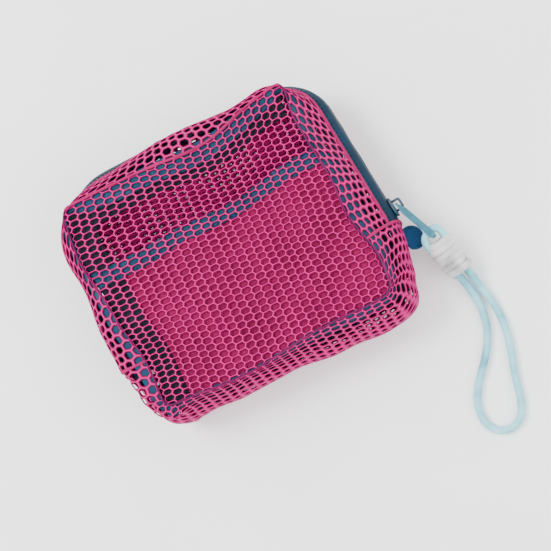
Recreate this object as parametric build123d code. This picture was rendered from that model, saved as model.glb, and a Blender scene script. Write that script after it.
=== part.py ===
"""Boxy zip pouch of hexagonal mesh, lying on its back panel, with a cord lanyard on its zip pull.

Millimetres. The bag lies flat: X is its width, Y its height (the zip's top side is +Y), and Z its
depth, with the back panel on z = 0 and the front panel on top. The origin is under the middle of
the bag. Mesh panels are closed sheets of the mesh's thickness.
"""
import os
from math import atan2, cos, degrees, pi, radians, sin, tan

from build123d import *

# Bag
PANEL_W = 127.0          # front and back panels, seam to seam
PANEL_H = 115.0
PANEL_CORNER = 8.0
GIRTH_LOW_W = 162.0      # around the zip, where the sides bulge most
GIRTH_TOP_W = 148.0
GIRTH_H = 137.0
GIRTH_LOW_CORNER = 22.0
GIRTH_TOP_CORNER = 30.0
DEPTH = 46.0
MESH = 1.2               # thickness of the mesh
WALL = 1.5               # the same, measured level on the sloping sides
MID = DEPTH / 2
REACH = 400.0            # the side of a cutting box, larger than the bag

# Zip: a level band at mid-depth, then tape that slopes in to the mesh
BAND_HALF = 5.0
TAPE_SLOPE_IN = 4.5
TAPE_SLOPE_UP = 5.0
TAPE = 0.6
TAPE_GAP_HALF = 0.7      # half of the slit between the two tapes
COIL_NEAR = 0.75         # from the slit's middle to the coil, and to the coil's far side
COIL_FAR = 3.2
COIL_THICK = 1.9
ZIP_END_Y = -27.0
STOP_LENGTH = 1.4

# Bindings and pocket
BINDING_WIDTH = 8.0
BINDING = 1.0
BINDING_LEAN = 50.0      # degrees down from level
BINDING_WALL = 1.6       # the binding's thickness, measured level
POCKET_TOP_Y = 21.0
POCKET_BINDING = 8.5
POCKET = 0.9
POCKET_LEFT_X = -50.0
FACING_TOP_Y = 50.0      # the dark facing inside the top and left edges
FACING_LOW_Y = 44.0
FACING_LEFT_X = -50.3
FACING_RIGHT_X = 56.0
GAP = 0.3                # between pieces laid one on another

# Round fabric tab that closes the zip's right end
TAB_RADIUS = 6.5
TAB_THICK = 1.6
TAB_CENTRE = (80.5, -33.5, 16.0)
TAB_TILT = 35.0
TAB_EDGE = 0.5           # radius of its edges

# Slider, in its own frame: X out of the bag, Y along the zip, Z across it, origin in the tapes
SLIDER_Y = -19.0
SLIDER_LENGTH = 10.0
SLIDER_HALF = 4.3
SLIDER_CORNER = 3.0
PLATE = 1.2
PLATE_CLEAR = 0.3
FLANGE = 0.7
FLANGE_SHORTER = 6.0     # how much shorter a flange is than the plates
POST_HALF = 0.35
POST_LENGTH = 2.4
POST_SETBACK = 2.0
BRIDGE_SPAN_HALF = 3.2
BRIDGE_WIRE = 1.2
BRIDGE_GAP = 3.2
BRIDGE_OUTER_RADIUS = 1.6
BRIDGE_INNER_RADIUS = 0.9

# Pull tab, in its own frame: X along it from the crossbar, Y through it, Z across its width
PULL_LENGTH = 24.7
PULL_HALF_WIDTH = 3.3
PULL_HALF_THICK = 1.7
PULL_PIN_RADIUS = 0.7
PULL_PIN_END = 0.5         # half of the upper end's flat, and the pin's chamfer
PULL_PIN_SHORTER = 0.6
PULL_TAPER = 4.8
PULL_END_TAPER = 2.0
PULL_END_RADIUS = 2.0
PULL_EYE_RADIUS = 0.6
PULL_EYE = (0.7, 4.8, 1.5)        # upper eye: start, end, half height
CORD_EYE = (17.4, 23.7, 2.65)     # lower eye
CORD_EYE_X = 20.6
PULL_AZIMUTH = -69.6
PULL_DROOP = 8.0

# Lanyard
CORD_DIAMETER = 4.0
ARC_SHARE = 0.45         # how much of the shorter run each corner's arc may use
KNOT_RADIUS = 6.8
KNOT_WRAPS = 6
GROOVE_SHARE = 0.22      # depth of the groove between wraps, as a share of their pitch
KNOT_FROM = (89.0, -42.5, 16.0)
KNOT_TO = (92.9, -62.7, 7.4)

# The cord's route: out of the knot's middle, through the pull's eye, back through the knot,
# round the loop on the table and into the knot again
CORD_ROUTE = [
    (86.7, -52.6, 12.6),
    (84.9, -46.8, 15.6),
    (83.99, -39.69, 20.13),
    (93.36, -36.2, 20.13),
    (94.8, -45.2, 15.6),
    (94.7, -53.8, 11.1),
    (95.3, -62.2, 7.2),
    (97.2, -73.5, 3.4),
    (98.6, -85.0, 2.1),
    (97.6, -96.5, 2.1),
    (93.9, -108.5, 2.1),
    (89.6, -120.5, 2.1),
    (87.2, -131.0, 2.1),
    (82.5, -139.2, 2.1),
    (73.5, -141.0, 2.1),
    (66.0, -134.5, 2.1),
    (66.3, -122.5, 2.1),
    (73.0, -112.5, 2.1),
    (81.5, -104.0, 2.1),
    (88.3, -94.5, 2.1),
    (91.6, -84.5, 2.1),
    (92.2, -74.0, 3.2),
    (90.5, -63.2, 7.2),
    (89.0, -58.0, 9.5),
]

SIDE_LEAN = degrees(atan2((GIRTH_LOW_W - GIRTH_TOP_W) / 2, GIRTH_H))
BAND_LOW, BAND_HIGH = MID - BAND_HALF, MID + BAND_HALF
MESH_LOW, MESH_HIGH = BAND_LOW - TAPE_SLOPE_UP, BAND_HIGH + TAPE_SLOPE_UP


def side_x(y):
    """The bulging side's outer face at mid-depth."""
    return (GIRTH_LOW_W + GIRTH_TOP_W) / 4 - y * tan(radians(SIDE_LEAN))


def outline(low_w, top_w, height, low_corner, top_corner, grow, z):
    """A rounded trapezoid at height z, grown outwards by grow."""
    low, top, half_h = low_w / 2 + grow, top_w / 2 + grow, height / 2 + grow
    corners = [(-low, -half_h), (low, -half_h), (top, half_h), (-top, half_h)]
    radii = [low_corner + grow, low_corner + grow, top_corner + grow, top_corner + grow]
    path = FilletPolyline(*corners, radius=radii, close=True)
    return Pos(0, 0, z) * make_face(path)


def panel_outline(z, grow=0.0):
    return outline(PANEL_W, PANEL_W, PANEL_H, PANEL_CORNER, PANEL_CORNER, grow, z)


def girth_outline(z, grow=0.0):
    return outline(GIRTH_LOW_W, GIRTH_TOP_W, GIRTH_H, GIRTH_LOW_CORNER, GIRTH_TOP_CORNER, grow, z)


def filled(sections):
    """A solid through the given outlines, straight from each to the next."""
    spans = [loft([low, high], ruled=True) for low, high in zip(sections, sections[1:])]
    solid = spans[0]
    for span in spans[1:]:
        solid = solid + span
    return solid


def wall(levels):
    """A ring-shaped wall. Each level is (outline maker, z, outer growth, inner growth)."""
    outer = filled([shape(z, out) for shape, z, out, _ in levels])
    inner = filled([shape(z, into) for shape, z, _, into in levels])
    return outer - inner


def above_zip_end(solid):
    return solid & Pos(0, ZIP_END_Y + REACH / 2, MID) * Box(REACH, REACH, REACH)


def below_zip_end(solid):
    return solid - Pos(0, ZIP_END_Y + REACH / 2, MID) * Box(REACH, REACH, REACH)


def mesh_levels(panel_z, mesh_z):
    """Mesh from a panel's seam out to the zip's tape, lowest level first."""
    levels = [
        (panel_outline, panel_z, WALL, 0.0),
        (girth_outline, mesh_z, -TAPE_SLOPE_IN, -TAPE_SLOPE_IN - WALL),
    ]
    return levels if panel_z < mesh_z else levels[::-1]


def front_panel():
    return extrude(panel_outline(DEPTH - MESH), MESH)


def back_panel():
    return extrude(panel_outline(0), MESH)


def front_zip_gusset():
    return above_zip_end(wall(mesh_levels(DEPTH - GAP, MESH_HIGH)))


def back_zip_gusset():
    return above_zip_end(wall(mesh_levels(GAP, MESH_LOW)))


def lower_gusset():
    """One strip round the bottom, the full depth of the bag."""
    levels = mesh_levels(GAP, MESH_LOW)
    levels += [(girth_outline, BAND_LOW, 0.0, -WALL), (girth_outline, BAND_HIGH, 0.0, -WALL)]
    levels += mesh_levels(DEPTH - GAP, MESH_HIGH)
    return below_zip_end(wall(levels))


def zip_tape(side):
    """One half of the zip's tape: side is 1 for the front half and -1 for the back."""
    levels = [
        (girth_outline, MID + side * TAPE_GAP_HALF, 0.0, -TAPE),
        (girth_outline, MID + side * BAND_HALF, 0.0, -TAPE),
        (girth_outline, MID + side * (BAND_HALF + TAPE_SLOPE_UP), -TAPE_SLOPE_IN, -TAPE_SLOPE_IN - TAPE),
    ]
    return above_zip_end(wall(levels if side > 0 else levels[::-1]))


def zip_coil(side):
    """The coil sewn to the inner face of one tape, along its edge."""
    ends = sorted([MID + side * COIL_NEAR, MID + side * COIL_FAR])
    ring = wall([(girth_outline, z, -TAPE, -TAPE - COIL_THICK) for z in ends])
    return ring - Pos(0, ZIP_END_Y + STOP_LENGTH - REACH / 2, MID) * Box(REACH, REACH, REACH)


def zip_stop(side):
    """The block that joins both coils at one end of the zip: side is 1 right and -1 left."""
    ring = wall([(girth_outline, z, -TAPE, -TAPE - COIL_THICK) for z in (MID - COIL_FAR, MID + COIL_FAR)])
    return ring & Pos(side * REACH / 2, ZIP_END_Y + STOP_LENGTH / 2, MID) * Box(REACH, STOP_LENGTH, REACH)


def seam_binding(panel_z, inward):
    """Tape folded over a panel's seam inside the bag: inward is +1 for the back seam."""
    drop = BINDING_WIDTH * sin(radians(BINDING_LEAN))
    inset = BINDING + BINDING_WIDTH * cos(radians(BINDING_LEAN))
    near = panel_z + inward * (MESH + POCKET + 2 * GAP)
    far = near + inward * drop
    levels = [
        (panel_outline, near, -BINDING, -BINDING - BINDING_WALL),
        (panel_outline, far, -inset, -inset - BINDING_WALL),
    ]
    return wall(levels if inward > 0 else levels[::-1])


def end_seam_binding(side):
    """Tape over the short seam where the zip and its mesh meet the lower gusset."""
    inset = WALL + GAP
    levels = [
        (girth_outline, MESH_LOW, -TAPE_SLOPE_IN - inset, -TAPE_SLOPE_IN - inset - BINDING),
        (girth_outline, BAND_LOW, -inset, -inset - BINDING),
        (girth_outline, BAND_HIGH, -inset, -inset - BINDING),
        (girth_outline, MESH_HIGH, -TAPE_SLOPE_IN - inset, -TAPE_SLOPE_IN - inset - BINDING),
    ]
    place = Pos(side * REACH / 2, ZIP_END_Y - BINDING_WIDTH / 2, MID)
    return wall(levels) & place * Box(REACH, BINDING_WIDTH, REACH)


def zip_end_tab():
    """A round double-thickness tab sewn over the zip's right end, standing out of the side."""
    disc = Pos(*TAB_CENTRE) * Rot(0, TAB_TILT, 0) * Cylinder(TAB_RADIUS, TAB_THICK)
    disc = fillet(disc.edges(), TAB_EDGE)
    room = filled([girth_outline(MESH_LOW, -TAPE_SLOPE_IN + GAP), girth_outline(BAND_LOW, GAP)])
    room = room + filled([girth_outline(BAND_LOW, GAP), girth_outline(BAND_HIGH, GAP)])
    return disc - room


def inner_layer(low_x, high_x, low_y, high_y):
    """A piece of the layer just behind the front panel, cut to the given sides."""
    sheet = extrude(panel_outline(DEPTH - MESH - GAP - POCKET, -BINDING), POCKET)
    middle = Pos((low_x + high_x) / 2, (low_y + high_y) / 2, DEPTH)
    return sheet & middle * Box(high_x - low_x, high_y - low_y, REACH)


def pocket_panel():
    """A slip pocket's panel behind the front panel, sewn in at the right side and the bottom."""
    return inner_layer(POCKET_LEFT_X, REACH, -REACH, POCKET_TOP_Y - POCKET_BINDING)


def pocket_top_binding():
    return inner_layer(POCKET_LEFT_X, REACH, POCKET_TOP_Y - POCKET_BINDING, POCKET_TOP_Y)


def seam_facing():
    """The dark facing inside the left and top edges of the front panel."""
    beside_pocket = inner_layer(-REACH, FACING_LEFT_X, -REACH, FACING_TOP_Y)
    along_top = inner_layer(FACING_LEFT_X, FACING_RIGHT_X, FACING_LOW_Y, FACING_TOP_Y)
    return beside_pocket + along_top


def slider_place():
    """From the slider's own frame to the bag's."""
    return Pos(side_x(SLIDER_Y) - TAPE / 2, SLIDER_Y, MID) * Rot(0, 0, SIDE_LEAN)


def slider_body():
    """Two plates joined by the post that parts the coils, with flanges round the coils."""
    outer_x = TAPE / 2 + PLATE_CLEAR
    inner_x = -TAPE / 2 - COIL_THICK - PLATE_CLEAR
    plate = Box(PLATE, SLIDER_LENGTH, 2 * SLIDER_HALF)
    rounded = fillet(plate.edges().filter_by(Axis.X), SLIDER_CORNER)
    body = Pos(outer_x + PLATE / 2, 0, 0) * rounded + Pos(inner_x - PLATE / 2, 0, 0) * rounded
    post_x = (outer_x + inner_x) / 2
    post = Box(outer_x - inner_x + PLATE, POST_LENGTH, 2 * POST_HALF)
    body += Pos(post_x, -SLIDER_LENGTH / 2 + POST_SETBACK, 0) * post
    flange_top = -TAPE / 2 - PLATE_CLEAR
    for side in (-1, 1):
        flange = Box(flange_top - inner_x + PLATE / 2, SLIDER_LENGTH - FLANGE_SHORTER, FLANGE)
        x = (flange_top + inner_x - PLATE / 2) / 2
        body += Pos(x, 0, side * (SLIDER_HALF - FLANGE / 2)) * flange
    return slider_place() * body


def slider_bridge():
    """The arch on the outer plate that holds the pull's crossbar."""
    base = TAPE / 2 + PLATE_CLEAR + PLATE
    tall = BRIDGE_GAP + BRIDGE_WIRE
    arch = Pos(base + tall / 2, 0, 0) * Box(tall, 2 * BRIDGE_SPAN_HALF, BRIDGE_WIRE)
    arch = fillet(arch.edges().filter_by(Axis.Z).group_by(Axis.X)[-1], BRIDGE_OUTER_RADIUS)
    hole = Box(BRIDGE_GAP, 2 * (BRIDGE_SPAN_HALF - BRIDGE_WIRE), 2 * BRIDGE_WIRE)
    hole = fillet(hole.edges().filter_by(Axis.Z).group_by(Axis.X)[-1], BRIDGE_INNER_RADIUS)
    return slider_place() * (arch - Pos(base + BRIDGE_GAP / 2, 0, 0) * hole)


def pull_pivot():
    reach = TAPE / 2 + PLATE_CLEAR + PLATE + BRIDGE_GAP / 2
    return (slider_place() * Pos(reach, 0, 0)).position


def pull_place():
    return Pos(*pull_pivot()) * Rot(0, 0, PULL_AZIMUTH) * Rot(0, PULL_DROOP, 0)


def pull_tab():
    """A bar on edge, with an eye at each end. Its upper end tapers to the crossbar."""
    length = PULL_LENGTH + PULL_PIN_RADIUS
    bar = Pos(length / 2 - PULL_PIN_RADIUS, 0, 0) * Box(length, 2 * PULL_HALF_THICK, 2 * PULL_HALF_WIDTH)
    bar = fillet(bar.edges().filter_by(Axis.Y).group_by(Axis.X)[-1], PULL_END_RADIUS)
    side = Polyline(
        (-PULL_PIN_RADIUS, -PULL_PIN_END),
        (PULL_PIN_END, -PULL_PIN_RADIUS),
        (PULL_TAPER, -PULL_HALF_THICK),
        (PULL_LENGTH - PULL_END_TAPER, -PULL_HALF_THICK),
        (PULL_LENGTH, -PULL_HALF_THICK / 2),
        (PULL_LENGTH, PULL_HALF_THICK / 2),
        (PULL_LENGTH - PULL_END_TAPER, PULL_HALF_THICK),
        (PULL_TAPER, PULL_HALF_THICK),
        (PULL_PIN_END, PULL_PIN_RADIUS),
        (-PULL_PIN_RADIUS, PULL_PIN_END),
        close=True,
    )
    bar = bar & Pos(0, 0, -PULL_HALF_WIDTH) * extrude(make_face(side), 2 * PULL_HALF_WIDTH)
    for start, end, half in (PULL_EYE, CORD_EYE):
        hole = Box(end - start, 4 * PULL_HALF_THICK, 2 * half)
        bar -= Pos((start + end) / 2, 0, 0) * fillet(hole.edges().filter_by(Axis.Y), PULL_EYE_RADIUS)
    pin = Cylinder(PULL_PIN_RADIUS, 2 * PULL_HALF_WIDTH - PULL_PIN_SHORTER)
    return pull_place() * bar + Pos(*pull_pivot()) * pin


def route_radii(points, diameter):
    """The tangent arc at each corner of the route, as large as its two runs allow."""
    radii = []
    for before, here, after in zip(points, points[1:], points[2:]):
        first, second = Vector(*here) - Vector(*before), Vector(*after) - Vector(*here)
        turn = first.get_angle(second)
        radii.append(ARC_SHARE * min(first.length, second.length) / tan(radians(turn / 2)))
        print(f"turn {turn:5.1f}  radius {radii[-1]:6.1f}  {radii[-1] / diameter:4.1f} diameters")
    return radii


def lanyard_cord():
    """The cord as a tube of straight runs and tangent arcs."""
    path = FilletPolyline(*CORD_ROUTE, radius=route_radii(CORD_ROUTE, CORD_DIAMETER))
    section = Plane(path @ 0, z_dir=path % 0) * Circle(CORD_DIAMETER / 2)
    tube = sweep(section, path=path)
    straight_volume = pi * CORD_DIAMETER**2 / 4 * path.length
    print(f"cord length {path.length:.1f}, tube volume share {tube.volume / straight_volume:.3f}")
    return tube


def knot_wrap(cord):
    """Cord wound round the two strands, hollow where they pass."""
    start, end = Vector(*KNOT_FROM), Vector(*KNOT_TO)
    length = (end - start).length
    pitch = length / KNOT_WRAPS
    groove = KNOT_RADIUS - pitch * GROOVE_SHARE
    lines = []
    for turn in range(KNOT_WRAPS):
        low, high = (groove, turn * pitch), (groove, (turn + 1) * pitch)
        lines.append(ThreePointArc(low, (KNOT_RADIUS, (turn + 0.5) * pitch), high))
    lines.append(Polyline((groove, length), (0, length), (0, 0), (groove, 0)))
    barrel = revolve(Plane.XZ * make_face(lines), Axis.Z)
    return Plane(start, z_dir=end - start).location * barrel - cord


def main():
    os.makedirs("parts", exist_ok=True)
    cord = lanyard_cord()
    parts = {
        "front_panel": front_panel(),
        "back_panel": back_panel(),
        "front_zip_gusset": front_zip_gusset(),
        "back_zip_gusset": back_zip_gusset(),
        "lower_gusset": lower_gusset(),
        "front_zip_tape": zip_tape(1),
        "back_zip_tape": zip_tape(-1),
        "front_zip_coil": zip_coil(1),
        "back_zip_coil": zip_coil(-1),
        "zip_stop_right": zip_stop(1),
        "zip_stop_left": zip_stop(-1),
        "zip_end_tab_right": zip_end_tab(),
        "front_seam_binding": seam_binding(DEPTH, -1),
        "back_seam_binding": seam_binding(0, 1),
        "end_seam_binding_right": end_seam_binding(1),
        "end_seam_binding_left": end_seam_binding(-1),
        "pocket_panel": pocket_panel(),
        "pocket_top_binding": pocket_top_binding(),
        "seam_facing": seam_facing(),
        "slider_body": slider_body(),
        "slider_bridge": slider_bridge(),
        "pull_tab": pull_tab(),
        "lanyard_cord": cord,
        "knot_wrap": knot_wrap(cord),
    }
    for name, solid in parts.items():
        export_step(solid, f"parts/{name}.step")
    print("pull pivot", pull_pivot())
    print("cord eye", (pull_place() * Pos(CORD_EYE_X, 0, 0)).position)
    print("side lean", SIDE_LEAN)


main()
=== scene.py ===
"""Looks of the boxy zip pouch of hexagonal mesh. Lengths are millimetres until a mesh is made."""
import math

import bmesh
import bpy
import numpy as np
from mathutils import Matrix, Vector


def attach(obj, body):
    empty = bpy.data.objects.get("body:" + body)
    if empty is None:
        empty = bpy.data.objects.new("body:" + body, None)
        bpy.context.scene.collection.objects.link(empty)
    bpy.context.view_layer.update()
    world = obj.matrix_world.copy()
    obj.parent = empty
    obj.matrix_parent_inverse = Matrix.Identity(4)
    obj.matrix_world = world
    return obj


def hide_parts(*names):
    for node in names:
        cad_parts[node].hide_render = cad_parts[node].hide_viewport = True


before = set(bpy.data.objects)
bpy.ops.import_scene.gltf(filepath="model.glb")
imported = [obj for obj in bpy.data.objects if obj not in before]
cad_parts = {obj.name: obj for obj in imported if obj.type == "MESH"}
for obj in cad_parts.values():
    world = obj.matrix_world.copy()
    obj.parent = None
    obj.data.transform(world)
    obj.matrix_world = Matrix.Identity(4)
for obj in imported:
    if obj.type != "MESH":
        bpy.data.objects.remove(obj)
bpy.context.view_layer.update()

MM = 0.001


def in_scene(name, data):
    """A new object that is in the scene."""
    obj = bpy.data.objects.new(name, data)
    bpy.context.scene.collection.objects.link(obj)
    return obj


# ---------------- camera, in metres
TARGET = Vector((0.0149, -0.0244, 0.046))
TOWARDS_CAMERA = Vector((0.154, -0.215, 0.965)).normalized()
PICTURE_UP = Vector((0.4699, 0.8827, 0.0))
DISTANCE = 1.0
LENS = 134.0

camera = in_scene("camera", bpy.data.cameras.new("camera"))
camera.data.lens = LENS
right = PICTURE_UP.cross(TOWARDS_CAMERA).normalized()
up = TOWARDS_CAMERA.cross(right)
turn = Matrix((right, up, TOWARDS_CAMERA)).transposed().to_4x4()
camera.matrix_world = Matrix.Translation(TARGET + TOWARDS_CAMERA * DISTANCE) @ turn
bpy.context.scene.camera = camera


# ---------------- mesh building
def new_object(name, points, faces, smooth=True, cloth=None):
    """An object from points in millimetres. cloth is each point's place on the flat cloth."""
    mesh = bpy.data.meshes.new(name)
    faces = [np.asarray(group) for group in faces if len(group)]
    points = np.asarray(points, float)
    mesh.vertices.add(len(points))
    mesh.vertices.foreach_set("co", (points * MM).astype(np.float32).ravel())
    loops = np.concatenate([group.ravel() for group in faces])
    sizes = np.concatenate([np.full(len(group), group.shape[1]) for group in faces])
    mesh.loops.add(len(loops))
    mesh.loops.foreach_set("vertex_index", loops.astype(np.int32))
    mesh.polygons.add(len(sizes))
    starts = np.concatenate([[0], np.cumsum(sizes)[:-1]])
    mesh.polygons.foreach_set("loop_start", starts.astype(np.int32))
    mesh.update(calc_edges=True)
    mesh.validate()
    mesh.polygons.foreach_set("use_smooth", np.full(len(mesh.polygons), smooth))
    if cloth is not None:
        flat = np.zeros((len(points), 3))
        flat[:, : cloth.shape[1]] = cloth * MM
        layer = mesh.attributes.new("cloth", "FLOAT_VECTOR", "POINT")
        layer.data.foreach_set("vector", flat.astype(np.float32).ravel())
    return in_scene(name, mesh)


WAVES_SUMMED = 6
WAVES_HEIGHT = 3.5
NORMAL_STEP = 0.05
CAP_BULGE = 0.35
STITCH_RINGS = 5
STITCH_SIDES = 6


def unit(v):
    return v / np.maximum(np.linalg.norm(v, axis=-1, keepdims=True), 1e-9)


def ripple(a, b, seed, length):
    """Smooth uneven waves of about the given length, roughly from -1 to 1."""
    rng = np.random.default_rng(seed)
    total = 0.0
    for _ in range(WAVES_SUMMED):
        heading, phase = rng.uniform(0, 2 * math.pi, 2)
        k = 2 * math.pi / (length * rng.uniform(0.7, 1.6))
        total = total + np.sin(k * (a * math.cos(heading) + b * math.sin(heading)) + phase)
    return total / WAVES_HEIGHT


def smoothstep(x, low, high):
    t = np.clip((x - low) / (high - low), 0, 1)
    return t * t * (3 - 2 * t)


def bell(x, middle, width):
    return np.exp(-(((x - middle) / width) ** 2))


def surface_normals(surface, a, b, flip):
    along = surface(a + NORMAL_STEP, b) - surface(a - NORMAL_STEP, b)
    across = surface(a, b + NORMAL_STEP) - surface(a, b - NORMAL_STEP)
    normal = unit(np.cross(along, across))
    return -normal if flip else normal


def shell(name, surface, a_values, b_values, thickness, flip=False, lift=0.0, keep=None, closed=False):
    """A closed sheet of cloth over surface(a, b), wherever keep(a, b) holds."""
    a, b = np.meshgrid(a_values, b_values, indexing="ij")
    rows, cols = a.shape
    index = np.arange(rows * cols).reshape(rows, cols)
    if closed:
        index[-1] = index[0]
    quads = np.stack([index[:-1, :-1], index[1:, :-1], index[1:, 1:], index[:-1, 1:]], -1).reshape(-1, 4)
    a, b = a.ravel(), b.ravel()
    if keep is not None:
        quads = quads[keep(a[quads[:, [0, 2]]].mean(1), b[quads[:, [0, 2]]].mean(1))]
    used, quads = np.unique(quads, return_inverse=True)
    a, b, quads, count = a[used], b[used], quads.reshape(-1, 4), len(used)
    place = surface(a, b)
    normal = surface_normals(surface, a, b, flip)
    top = place + normal * (lift + thickness / 2)
    low = place + normal * (lift - thickness / 2)
    if flip:
        quads = quads[:, ::-1]
    start, end = quads.ravel(), np.roll(quads, -1, 1).ravel()
    border = ~np.isin(start * count + end, end * count + start)
    start, end = start[border], end[border]
    walls = np.stack([end, start, start + count, end + count], -1)
    flat = np.stack([a, b], -1)
    groups = [quads, quads[:, ::-1] + count, walls]
    return new_object(name, np.concatenate([top, low]), groups, cloth=np.concatenate([flat, flat]))


def frames_along(path, closed):
    """Tangents and two steady cross directions along a path."""
    if closed:
        tangent = unit(np.roll(path, -1, 0) - np.roll(path, 1, 0))
    else:
        tangent = unit(np.gradient(path, axis=0))
    side = np.zeros_like(path)
    start = np.cross(tangent[0], (0.0, 0.0, 1.0))
    if np.linalg.norm(start) < 0.1:
        start = np.cross(tangent[0], (1.0, 0.0, 0.0))
    side[0] = unit(start)
    for i in range(1, len(path)):
        moved = side[i - 1] - tangent[i] * np.dot(side[i - 1], tangent[i])
        side[i] = moved / np.linalg.norm(moved)
    return tangent, side, np.cross(tangent, side)


def distance_along(path):
    """The distance from a path's first point to each of its points."""
    steps = np.linalg.norm(np.diff(path, axis=0), axis=1)
    return np.concatenate([[0], np.cumsum(steps)])


def sampled(values, distance, wanted):
    """Three-part values that are known at some distances, read off at the wanted distances."""
    return np.stack([np.interp(wanted, distance, values[:, k]) for k in range(3)], -1)


def ring_quads(index):
    """Quads between the rows of an index grid, each row a closed ring."""
    after = np.roll(index, -1, 1)
    return np.stack([index[:-1], after[:-1], after[1:], index[1:]], -1).reshape(-1, 4)


def end_caps(index, tip):
    """Triangles from a grid's first and last rings to the points numbered tip and tip + 1."""
    after = np.roll(index, -1, 1)
    tips = np.full(index.shape[1], tip)
    return [np.stack([tips, after[0], index[0]], -1), np.stack([tips + 1, index[-1], after[-1]], -1)]


def tube(name, path, radius, sides=10, closed=False, flatten=1.0, relief=None, up=None):
    """A tube round a path. relief(angle, distance) scales its radius."""
    path = np.asarray(path, float)
    tangent, side, over = frames_along(path, closed)
    if up is not None:
        over = unit(up - tangent * (up * tangent).sum(-1, keepdims=True))
        side = np.cross(over, tangent)
    distance = distance_along(path)
    angle = np.arange(sides) / sides * 2 * math.pi
    radius = np.broadcast_to(radius, (len(path),))
    size = radius[:, None] * np.ones(sides)
    if relief is not None:
        size = size * relief(angle[None, :], distance[:, None])
    ring = side[:, None, :] * (np.cos(angle) * size)[..., None]
    ring = ring + over[:, None, :] * (np.sin(angle) * size * flatten)[..., None]
    points = (path[:, None, :] + ring).reshape(-1, 3)
    n = len(path)
    index = np.arange(n * sides).reshape(n, sides)
    flat = np.stack([np.repeat(distance, sides), np.tile(angle, n) * radius.mean()], -1)
    groups = [ring_quads(np.concatenate([index, index[:1]]) if closed else index)]
    if not closed:
        ends = path[[0, -1]] + np.stack([-tangent[0], tangent[-1]]) * radius[[0, -1], None] * CAP_BULGE
        points = np.concatenate([points, ends])
        flat = np.concatenate([flat, flat[[0, -1]]])
        groups += end_caps(index, n * sides)
    return new_object(name, points, groups, cloth=flat)


def stitches(name, path, normal, pitch, length, radius, sink=0.25):
    """A row of short raised thread stitches along a path, each sunk by a share of its radius."""
    distance = distance_along(path)
    centres = np.arange(pitch / 2, distance[-1], pitch)
    place, out = sampled(path, distance, centres), unit(sampled(normal, distance, centres))
    along = unit(sampled(path, distance, centres + 0.2) - sampled(path, distance, centres - 0.2))
    across = unit(np.cross(out, along))
    s = np.linspace(-0.9, 0.9, STITCH_RINGS)
    angles = np.arange(STITCH_SIDES) / STITCH_SIDES * 2 * math.pi
    reach = s * length / 2
    thick = radius * np.sqrt(1 - s**2)
    bow = radius * (1 - s**2) - radius * sink * 2
    local = []
    for i in range(STITCH_RINGS):
        local += [(reach[i], math.cos(t) * thick[i], math.sin(t) * thick[i] + bow[i]) for t in angles]
    local += [(-length / 2, 0, bow[0] - radius * 0.3), (length / 2, 0, bow[-1] - radius * 0.3)]
    local = np.array(local)
    points = place[:, None] + local[None, :, 0:1] * along[:, None]
    points = points + local[None, :, 1:2] * across[:, None] + local[None, :, 2:3] * out[:, None]
    tip = STITCH_RINGS * STITCH_SIDES
    index = np.arange(tip).reshape(STITCH_RINGS, STITCH_SIDES)
    shift = np.arange(len(centres))[:, None, None] * len(local)
    groups = [ring_quads(index)] + end_caps(index, tip)
    groups = [(group[None] + shift).reshape(-1, group.shape[1]) for group in groups]
    flat = np.tile(local[:, :2], (len(centres), 1))
    return new_object(name, points.reshape(-1, 3), groups, cloth=flat)


# ---------------- the bag's outlines
# the front and back panels, the girth round the zip, and how deep the bag is
PANEL_HALF_W = 63.5
PANEL_HALF_H = 57.5
PANEL_CORNER = 5.0
GIRTH_HALF_LOW = 81.0
GIRTH_HALF_TOP = 74.0
GIRTH_HALF_H = 68.5
GIRTH_CORNERS = (22.0, 30.0, 30.0, 22.0)
DEPTH = 46.0
MID_Z = DEPTH / 2
ZIP_END_Y = -27.0
# where the mesh is sewn to the zip's front tape, in from the girth and up from the floor
MESH_EDGE_INSET = 4.5
MESH_EDGE_Z = 33.0
SIDE_STEPS = 160
ARC_STEPS = 80


def rounded_ring(half_low, half_top, half_h, radii):
    """Points round a trapezoid with rounded corners, counter-clockwise from its lower left."""
    right_corners = [(half_low, -half_h), (half_top, half_h)]
    corners = np.array(right_corners + [(-half_top, half_h), (-half_low, -half_h)])
    arcs = []
    for i, radius in enumerate(radii):
        here = corners[i]
        before, after = unit(here - corners[i - 1]), unit(corners[(i + 1) % 4] - here)
        turned = math.atan2(before[0] * after[1] - before[1] * after[0], before @ after)
        reach = radius * math.tan(turned / 2)
        centre = here - before * reach + radius * np.array([-before[1], before[0]])
        first = here - before * reach - centre
        start = math.atan2(first[1], first[0])
        angle = start + np.arange(ARC_STEPS) / ARC_STEPS * turned
        arc = centre + radius * np.stack([np.cos(angle), np.sin(angle)], -1)
        arcs.append((here - before * reach, arc, here + after * reach))
    points = []
    for i in range(4):
        leave, arrive = arcs[i - 1][2], arcs[i][0]
        share = np.arange(SIDE_STEPS)[:, None] / SIDE_STEPS
        points += [leave + (arrive - leave) * share, arcs[i][1]]
    return np.concatenate(points)


PANEL_RING = rounded_ring(PANEL_HALF_W, PANEL_HALF_W, PANEL_HALF_H, (PANEL_CORNER,) * 4)
GIRTH_RING = rounded_ring(GIRTH_HALF_LOW, GIRTH_HALF_TOP, GIRTH_HALF_H, GIRTH_CORNERS)
RING_COUNT = len(PANEL_RING)


def ring_at(ring, t):
    """A point of a ring at the shares t of its way round."""
    place = np.mod(t, 1.0) * RING_COUNT
    low = np.floor(place).astype(int) % RING_COUNT
    part = (place - np.floor(place))[..., None]
    return ring[low] * (1 - part) + ring[(low + 1) % RING_COUNT] * part


def outward_of(ring):
    """Unit vectors out from each point of a ring."""
    tangent = unit(np.roll(ring, -1, 0) - np.roll(ring, 1, 0))
    return np.stack([tangent[:, 1], -tangent[:, 0]], -1)


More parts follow.
